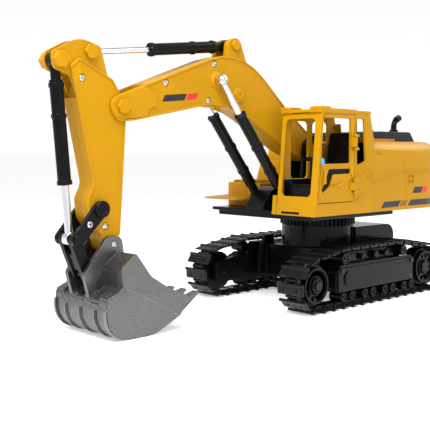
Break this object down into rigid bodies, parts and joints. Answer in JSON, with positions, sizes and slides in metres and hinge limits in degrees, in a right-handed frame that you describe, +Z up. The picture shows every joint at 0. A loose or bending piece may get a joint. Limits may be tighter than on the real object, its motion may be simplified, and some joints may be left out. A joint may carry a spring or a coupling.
{
  "type": "toy excavator",
  "caption": "Toy crawler excavator on two tracks, with a slewing body, open cab and door, two-part arm, push rods and a curling bucket.",
  "frame": {"origin": "centre of the overall box at the ground, under the body's front and on the centre plane", "axes": "+X forwards to the bucket, +Y to the machine's left and the cab door, +Z up"},
  "size_m": [0.31, 0.1, 0.1599],
  "materials": {
    "yellow_plastic": "satin moulded ABS, golden yellow",
    "black_plastic": "semi-gloss moulded black plastic",
    "track_rubber": "black flexible track with a soft sheen",
    "hood_grey": "satin dark slate grey plastic",
    "bucket_grey": "metallic grey speckled plastic, fine texture",
    "chrome_rod": "polished plated rod",
    "steel": "zinc-plated steel",
    "blackened_steel": "blackened steel, slightly glossy",
    "led_blue": "glowing blue lamp",
    "board_green": "green circuit board",
    "cell_blue": "shrink-wrapped battery cell",
    "white_nylon": "natural nylon gear"
  },
  "bodies": {
    "chassis": {"chassis_frame": "black_plastic", "battery_pack": "cell_blue", "battery_door": "black_plastic", "chassis_screws": "blackened_steel", "ring_gear": "black_plastic", "track_frame_left": "black_plastic", "track_frame_right": "black_plastic", "track_belt_left": "track_rubber", "track_belt_right": "track_rubber", "rollers_left": "black_plastic", "rollers_right": "black_plastic", "idler_axles": "blackened_steel", "gearbox_left": "black_plastic", "gearbox_right": "black_plastic"},
    "switch": {"power_switch": "black_plastic"},
    "idler_wheel_left": {"idler_left": "black_plastic"},
    "idler_wheel_right": {"idler_right": "black_plastic"},
    "drive_wheel_left": {"sprocket_left": "black_plastic"},
    "drive_wheel_right": {"sprocket_right": "black_plastic"},
    "upper_body": {"upper_floor": "black_plastic", "body_shell": "yellow_plastic", "engine_hood": "hood_grey", "exhaust_pipe": "black_plastic", "tread_strips": "yellow_plastic", "toolbox": "yellow_plastic", "cab_shell": "yellow_plastic", "cab_roof": "yellow_plastic", "seat": "black_plastic", "console": "black_plastic", "control_lever": "black_plastic", "cab_led": "led_blue", "slew_motor": "steel", "boom_gearbox": "black_plastic", "circuit_board": "board_green", "cylinder_bracket": "black_plastic", "cylinder_pin": "blackened_steel", "foot_pin": "blackened_steel"},
    "pinion": {"slew_pinion": "white_nylon"},
    "door": {"cab_door": "yellow_plastic"},
    "boom": {"boom_left": "yellow_plastic", "boom_right": "yellow_plastic", "boom_screws": "steel", "boom_bolts": "yellow_plastic"},
    "boom_cylinders": {"boom_barrel_left": "black_plastic", "boom_barrel_right": "black_plastic"},
    "boom_rods": {"boom_rod_left": "chrome_rod", "boom_rod_right": "chrome_rod"},
    "stick_cylinder": {"stick_barrel": "black_plastic"},
    "stick_piston": {"stick_rod": "chrome_rod"},
    "stick": {"stick_left": "yellow_plastic", "stick_right": "yellow_plastic", "stick_head": "yellow_plastic", "stick_bolts": "yellow_plastic", "stick_screws": "steel"},
    "bucket_cylinder": {"bucket_barrel": "black_plastic"},
    "bucket_piston": {"bucket_rod": "chrome_rod"},
    "links": {"side_links": "black_plastic", "link_pin": "blackened_steel"},
    "h_link": {"bucket_link": "black_plastic"},
    "bucket_body": {"bucket": "bucket_grey"}
  },
  "joints": [
    {"name": "slew", "type": "hinge", "parent": "chassis", "child": "upper_body", "pos_m": [-0.052, 0, 0.05], "axis": [0, 0, 1], "range_deg": [-180, 180]},
    {"name": "slew_pinion_turn", "type": "hinge", "parent": "upper_body", "child": "pinion", "pos_m": [-0.082, 0, 0.05], "axis": [0, 0, 1], "range_deg": [-721, 721]},
    {"name": "boom_lift", "type": "hinge", "parent": "upper_body", "child": "boom", "pos_m": [-0.033, 0, 0.0985], "axis": [0, -1, 0], "range_deg": [0, 24]},
    {"name": "boom_cylinder_swing", "type": "hinge", "parent": "upper_body", "child": "boom_cylinders", "pos_m": [-0.0055, 0, 0.0665], "axis": [0, -1, 0], "range_deg": [-0.5, 21.03]},
    {"name": "boom_rod_slide", "type": "slide", "parent": "boom_cylinders", "child": "boom_rods", "axis": [0.6224, 0, 0.7827], "range_m": [-0.0004, 0.01707]},
    {"name": "stick_swing", "type": "hinge", "parent": "boom", "child": "stick", "pos_m": [0.115, 0, 0.1175], "axis": [0, -1, 0], "range_deg": [-22, 20]},
    {"name": "stick_cylinder_swing", "type": "hinge", "parent": "boom", "child": "stick_cylinder", "pos_m": [0.0335, 0, 0.1555], "axis": [0, -1, 0], "range_deg": [-3.83, 3.52]},
    {"name": "stick_rod_slide", "type": "slide", "parent": "stick_cylinder", "child": "stick_piston", "axis": [0.9931, 0, -0.1171], "range_m": [-0.01004, 0.01101]},
    {"name": "bucket_curl", "type": "hinge", "parent": "stick", "child": "bucket_body", "pos_m": [0.122, 0, 0.0468], "axis": [0, -1, 0], "range_deg": [-30, 42]},
    {"name": "side_link_swing", "type": "hinge", "parent": "stick", "child": "links", "pos_m": [0.1294, 0, 0.0655], "axis": [0, -1, 0], "range_deg": [-30.5, 42.5]},
    {"name": "bucket_link_swing", "type": "hinge", "parent": "links", "child": "h_link", "pos_m": [0.1435, 0, 0.0508], "axis": [0, -1, 0], "range_deg": [-42.5, 30.5]},
    {"name": "bucket_cylinder_swing", "type": "hinge", "parent": "stick", "child": "bucket_cylinder", "pos_m": [0.1506, 0, 0.1388], "axis": [0, -1, 0], "range_deg": [-4.48, 6.07]},
    {"name": "bucket_rod_slide", "type": "slide", "parent": "bucket_cylinder", "child": "bucket_piston", "axis": [-0.0804, 0, -0.9968], "range_m": [-0.01244, 0.009]},
    {"name": "door_swing", "type": "hinge", "parent": "upper_body", "child": "door", "pos_m": [-0.0302, 0.0463, 0.09], "axis": [0, 0, 1], "range_deg": [0, 75]},
    {"name": "left_drive", "type": "hinge", "parent": "chassis", "child": "drive_wheel_left", "pos_m": [-0.1095, 0.04, 0.0166], "axis": [0, 1, 0], "continuous": true},
    {"name": "right_drive", "type": "hinge", "parent": "chassis", "child": "drive_wheel_right", "pos_m": [-0.1095, -0.04, 0.0166], "axis": [0, 1, 0], "continuous": true},
    {"name": "left_idler_turn", "type": "hinge", "parent": "chassis", "child": "idler_wheel_left", "pos_m": [0.0055, 0.04, 0.0166], "axis": [0, 1, 0], "continuous": true},
    {"name": "right_idler_turn", "type": "hinge", "parent": "chassis", "child": "idler_wheel_right", "pos_m": [0.0055, -0.04, 0.0166], "axis": [0, 1, 0], "continuous": true},
    {"name": "power_switch_slide", "type": "slide", "parent": "chassis", "child": "switch", "axis": [0, 1, 0], "range_m": [0, 0.0036]}
  ],
  "couplings": [
    {"joint": "slew_pinion_turn", "follows": "slew", "ratio": 4},
    {"joint": "boom_cylinder_swing", "follows": "boom_lift", "ratio": 0.8555},
    {"joint": "boom_rod_slide", "follows": "boom_lift", "m_per_rad": 0.0398},
    {"joint": "stick_cylinder_swing", "follows": "stick_swing", "ratio": 0.1512},
    {"joint": "stick_rod_slide", "follows": "stick_swing", "m_per_rad": -0.02762},
    {"joint": "side_link_swing", "follows": "bucket_curl", "ratio": 1},
    {"joint": "bucket_link_swing", "follows": "bucket_curl", "ratio": -1},
    {"joint": "bucket_cylinder_swing", "follows": "bucket_curl", "ratio": 0.1326},
    {"joint": "bucket_rod_slide", "follows": "bucket_curl", "m_per_rad": -0.01643},
    {"joint": "left_idler_turn", "follows": "left_drive", "ratio": 1},
    {"joint": "right_idler_turn", "follows": "right_drive", "ratio": 1}
  ]
}
